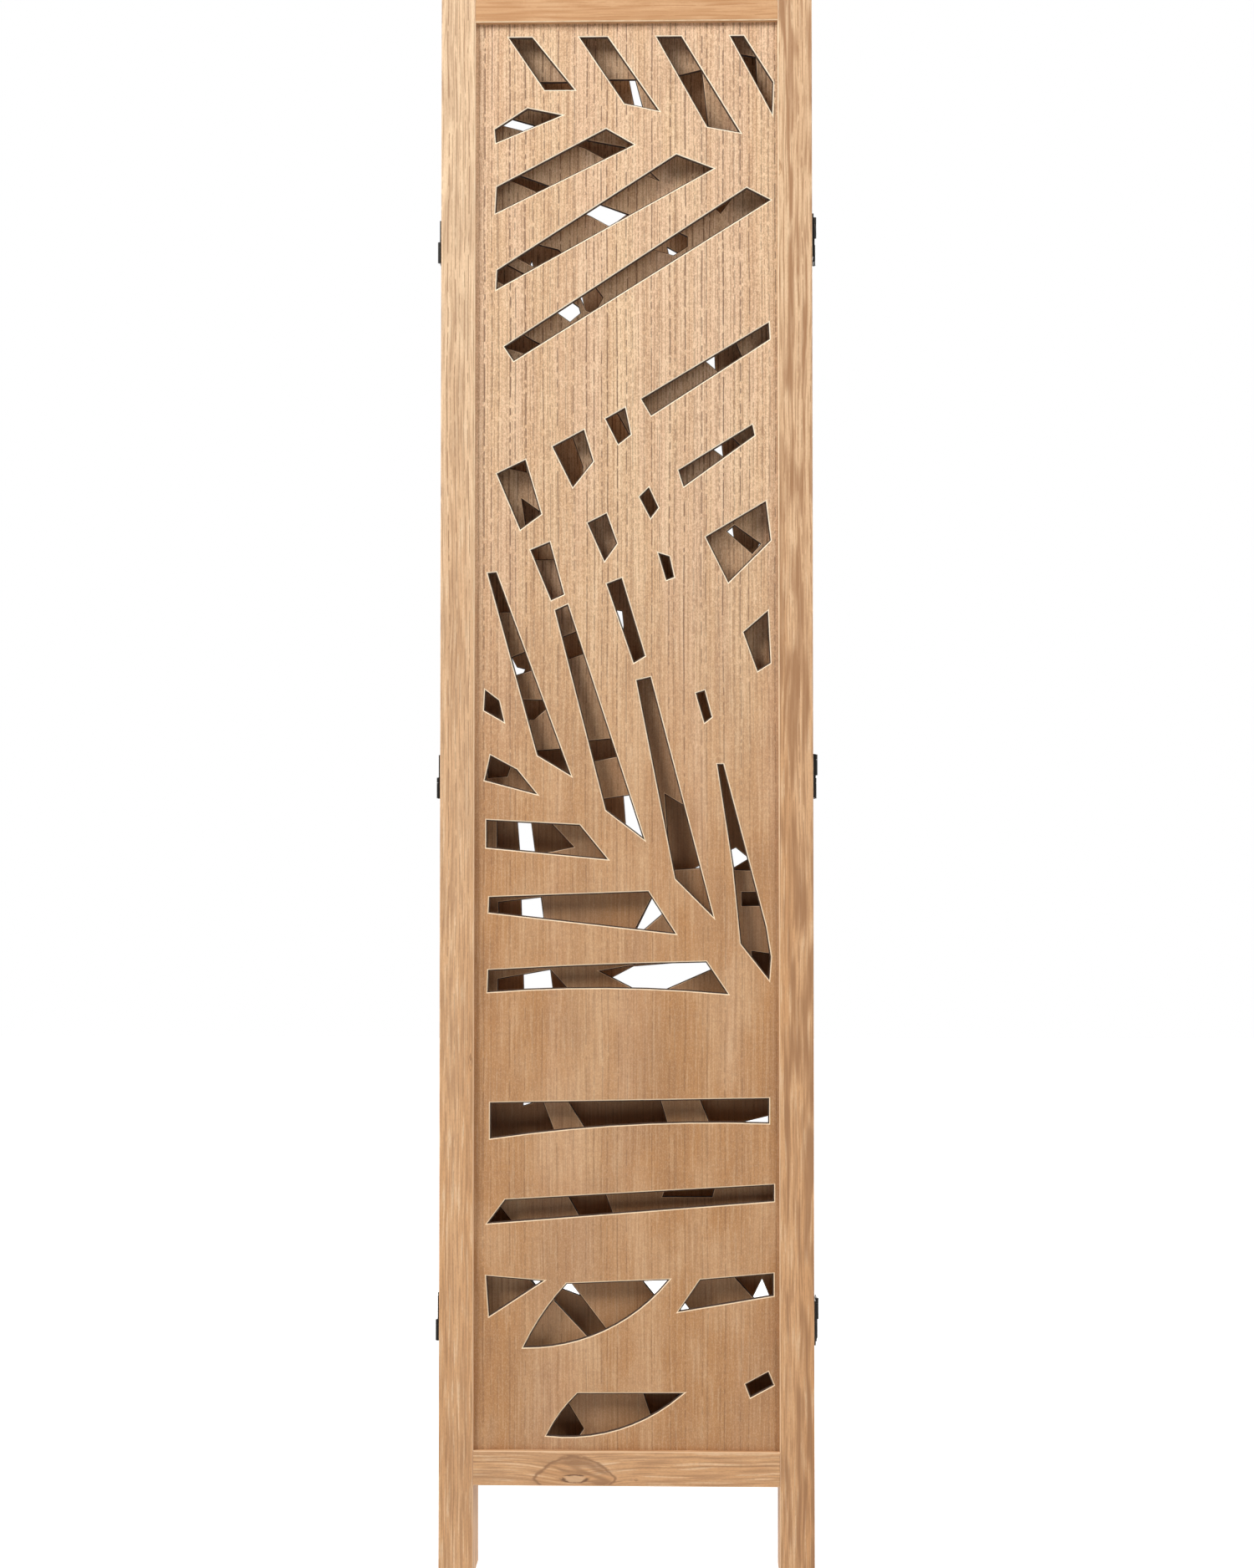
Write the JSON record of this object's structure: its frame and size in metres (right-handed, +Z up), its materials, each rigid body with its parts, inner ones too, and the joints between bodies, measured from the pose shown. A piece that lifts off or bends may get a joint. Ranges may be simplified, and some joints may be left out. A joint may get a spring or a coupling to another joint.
{
  "type": "room divider",
  "caption": "Folding wooden room divider, folded flat, with leaf-pattern pierced infills in framed leaves on legs and two-way hinges.",
  "frame": {"origin": "on the floor under the middle of the folded stack", "axes": "+Z up, X across the leaves' width, Y from the front leaf (at -Y) to the back leaf"},
  "size_m": [0.4112, 0.063, 1.705],
  "materials": {
    "frame_wood": "clear satin lacquer on straight-grained solid wood",
    "infill_wood": "clear satin lacquer on veneered plywood",
    "hinge_metal": "blackened bronze lacquer, semi-gloss",
    "pin_metal": "dark oiled steel"
  },
  "bodies": {
    "leaf_2": {"leaf_2_left_stile": "frame_wood", "leaf_2_right_stile": "frame_wood", "leaf_2_top_rail": "frame_wood", "leaf_2_bottom_rail": "frame_wood", "leaf_2_infill": "infill_wood", "leaf_2_right_bottom_plate": "hinge_metal", "leaf_2_right_middle_plate": "hinge_metal", "leaf_2_right_top_plate": "hinge_metal", "leaf_2_left_bottom_plate": "hinge_metal", "leaf_2_left_middle_plate": "hinge_metal", "leaf_2_left_top_plate": "hinge_metal"},
    "right_link": {"right_bottom_link": "hinge_metal", "right_middle_link": "hinge_metal", "right_top_link": "hinge_metal", "right_outer_pins": "pin_metal", "right_inner_pins": "pin_metal"},
    "leaf_1": {"leaf_1_left_stile": "frame_wood", "leaf_1_right_stile": "frame_wood", "leaf_1_top_rail": "frame_wood", "leaf_1_bottom_rail": "frame_wood", "leaf_1_infill": "infill_wood", "leaf_1_right_bottom_plate": "hinge_metal", "leaf_1_right_middle_plate": "hinge_metal", "leaf_1_right_top_plate": "hinge_metal"},
    "left_link": {"left_bottom_link": "hinge_metal", "left_middle_link": "hinge_metal", "left_top_link": "hinge_metal", "left_outer_pins": "pin_metal", "left_inner_pins": "pin_metal"},
    "leaf_3": {"leaf_3_left_stile": "frame_wood", "leaf_3_right_stile": "frame_wood", "leaf_3_top_rail": "frame_wood", "leaf_3_bottom_rail": "frame_wood", "leaf_3_infill": "infill_wood", "leaf_3_left_bottom_plate": "hinge_metal", "leaf_3_left_middle_plate": "hinge_metal", "leaf_3_left_top_plate": "hinge_metal"}
  },
  "joints": [
    {"name": "right_inner_hinge", "type": "hinge", "parent": "leaf_2", "child": "right_link", "pos_m": [0.203, 0.01075, 0.8525], "axis": [0, 0, 1], "range_deg": [0, 90]},
    {"name": "right_outer_hinge", "type": "hinge", "parent": "right_link", "child": "leaf_1", "pos_m": [0.203, -0.01075, 0.8525], "axis": [0, 0, 1], "range_deg": [0, 180]},
    {"name": "left_inner_hinge", "type": "hinge", "parent": "leaf_2", "child": "left_link", "pos_m": [-0.203, -0.01075, 0.8525], "axis": [0, 0, 1], "range_deg": [0, 90]},
    {"name": "left_outer_hinge", "type": "hinge", "parent": "left_link", "child": "leaf_3", "pos_m": [-0.203, 0.01075, 0.8525], "axis": [0, 0, 1], "range_deg": [0, 180]}
  ]
}
